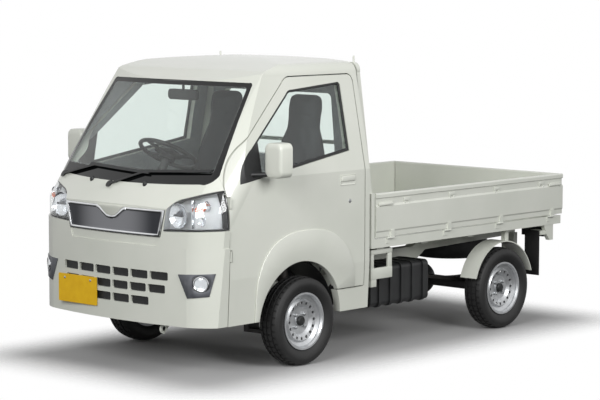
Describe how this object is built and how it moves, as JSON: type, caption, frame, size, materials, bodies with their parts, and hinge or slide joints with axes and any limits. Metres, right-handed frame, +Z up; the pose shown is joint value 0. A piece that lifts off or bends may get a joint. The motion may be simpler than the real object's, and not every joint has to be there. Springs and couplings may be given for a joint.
{
  "type": "kei truck",
  "caption": "Small cab-forward kei truck with a hollow cab, opening doors, steered front wheels, a flat load bed with fold-down gates and a guard frame behind the cab.",
  "frame": {"origin": "on the ground, at the middle of the truck's length and width", "axes": "-Y is the front of the truck, +X its left side, +Z up"},
  "size_m": [1.794, 3.395, 1.788],
  "materials": {
    "body_paint": "gloss pearl white",
    "frame_paint": "satin black",
    "spring_steel": "dull",
    "exhaust_steel": "dull",
    "engine_metal": "rough",
    "black_plastic": "grained",
    "tank_plastic": "satin",
    "dash_plastic": "grained",
    "seat_fabric": "woven",
    "clear_glass": "polished",
    "lamp_lens": "polished",
    "tail_lens": "polished",
    "bright_trim": "polished",
    "plate_paint": "satin",
    "wheel_silver": "satin",
    "tyre_rubber": "matte",
    "flap_rubber": "matte"
  },
  "bodies": {
    "truck": {"chassis_rails": "frame_paint", "cross_members": "frame_paint", "front_suspension": "frame_paint", "rear_axle": "frame_paint", "leaf_springs": "spring_steel", "engine": "engine_metal", "propeller_shaft": "spring_steel", "fuel_tank": "tank_plastic", "exhaust": "exhaust_steel", "spare_wheel": "tyre_rubber", "cab_floor": "dash_plastic", "wheel_liners": "black_plastic", "hinge_pillars": "body_paint", "cab_roof": "body_paint", "cab_back": "body_paint", "front_panel": "body_paint", "windscreen": "clear_glass", "rear_window": "clear_glass", "headlamps": "lamp_lens", "upper_grille": "bright_trim", "front_bumper": "body_paint", "fog_lamps": "lamp_lens", "number_plate": "plate_paint", "wipers": "black_plastic", "dashboard": "dash_plastic", "seat_left": "seat_fabric", "seat_right": "seat_fabric", "inner_mirror": "black_plastic", "steering_column": "black_plastic", "bed_floor": "body_paint", "bed_hinges": "body_paint", "guard_frame": "body_paint", "rear_mudguards": "black_plastic", "mud_flaps": "flap_rubber", "rear_lamps": "tail_lens", "cab_side_left": "body_paint", "cab_side_right": "body_paint"},
    "knuckle_left": {"knuckle_left": "engine_metal", "strut_left": "spring_steel"},
    "door_left": {"door_left": "body_paint", "door_glass_left": "clear_glass", "mirror_left": "body_paint"},
    "gate_left": {"gate_left": "body_paint"},
    "wheel_front_left": {"tyre_front_left": "tyre_rubber", "rim_front_left": "wheel_silver"},
    "wheel_rear_left": {"tyre_rear_left": "tyre_rubber", "rim_rear_left": "wheel_silver"},
    "knuckle_right": {"knuckle_right": "engine_metal", "strut_right": "spring_steel"},
    "door_right": {"door_right": "body_paint", "door_glass_right": "clear_glass", "mirror_right": "body_paint"},
    "gate_right": {"gate_right": "body_paint"},
    "wheel_front_right": {"tyre_front_right": "tyre_rubber", "rim_front_right": "wheel_silver"},
    "wheel_rear_right": {"tyre_rear_right": "tyre_rubber", "rim_rear_right": "wheel_silver"},
    "tailgate": {"tailgate": "body_paint"},
    "steering_wheel": {"steering_wheel": "black_plastic"}
  },
  "joints": [
    {"name": "steer_left", "type": "hinge", "parent": "truck", "child": "knuckle_left", "pos_m": [0.592, -0.821, 0.262], "axis": [-0.1736, 0, 0.9848], "range_deg": [-35, 35]},
    {"name": "steer_right", "type": "hinge", "parent": "truck", "child": "knuckle_right", "pos_m": [-0.592, -0.821, 0.262], "axis": [0.1736, 0, 0.9848], "range_deg": [-35, 35]},
    {"name": "steering_wheel_turn", "type": "hinge", "parent": "truck", "child": "steering_wheel", "pos_m": [-0.34, -0.92, 1.15], "axis": [0, 0.5145, 0.8575], "range_deg": [-560, 560]},
    {"name": "wheel_front_left_spin", "type": "hinge", "parent": "knuckle_left", "child": "wheel_front_left", "pos_m": [0.652, -0.821, 0.262], "axis": [1, 0, 0], "continuous": true},
    {"name": "wheel_front_right_spin", "type": "hinge", "parent": "knuckle_right", "child": "wheel_front_right", "pos_m": [-0.652, -0.821, 0.262], "axis": [1, 0, 0], "continuous": true},
    {"name": "wheel_rear_left_spin", "type": "hinge", "parent": "truck", "child": "wheel_rear_left", "pos_m": [0.652, 1.079, 0.262], "axis": [1, 0, 0], "continuous": true},
    {"name": "wheel_rear_right_spin", "type": "hinge", "parent": "truck", "child": "wheel_rear_right", "pos_m": [-0.652, 1.079, 0.262], "axis": [1, 0, 0], "continuous": true},
    {"name": "door_left_hinge", "type": "hinge", "parent": "truck", "child": "door_left", "pos_m": [0.722, -1.448, 0.85], "axis": [0, 0, -1], "range_deg": [0, 65]},
    {"name": "door_right_hinge", "type": "hinge", "parent": "truck", "child": "door_right", "pos_m": [-0.722, -1.448, 0.85], "axis": [0, 0, 1], "range_deg": [0, 65]},
    {"name": "gate_left_hinge", "type": "hinge", "parent": "truck", "child": "gate_left", "pos_m": [0.7305, 0.74, 0.69], "axis": [0, 1, 0], "range_deg": [0, 175]},
    {"name": "gate_right_hinge", "type": "hinge", "parent": "truck", "child": "gate_right", "pos_m": [-0.7305, 0.74, 0.69], "axis": [0, -1, 0], "range_deg": [0, 175]},
    {"name": "tailgate_hinge", "type": "hinge", "parent": "truck", "child": "tailgate", "pos_m": [0, 1.6905, 0.69], "axis": [-1, 0, 0], "range_deg": [0, 175]}
  ],
  "couplings": [
    {"joint": "steer_right", "follows": "steer_left", "ratio": 1},
    {"joint": "steering_wheel_turn", "follows": "steer_left", "ratio": 16}
  ]
}
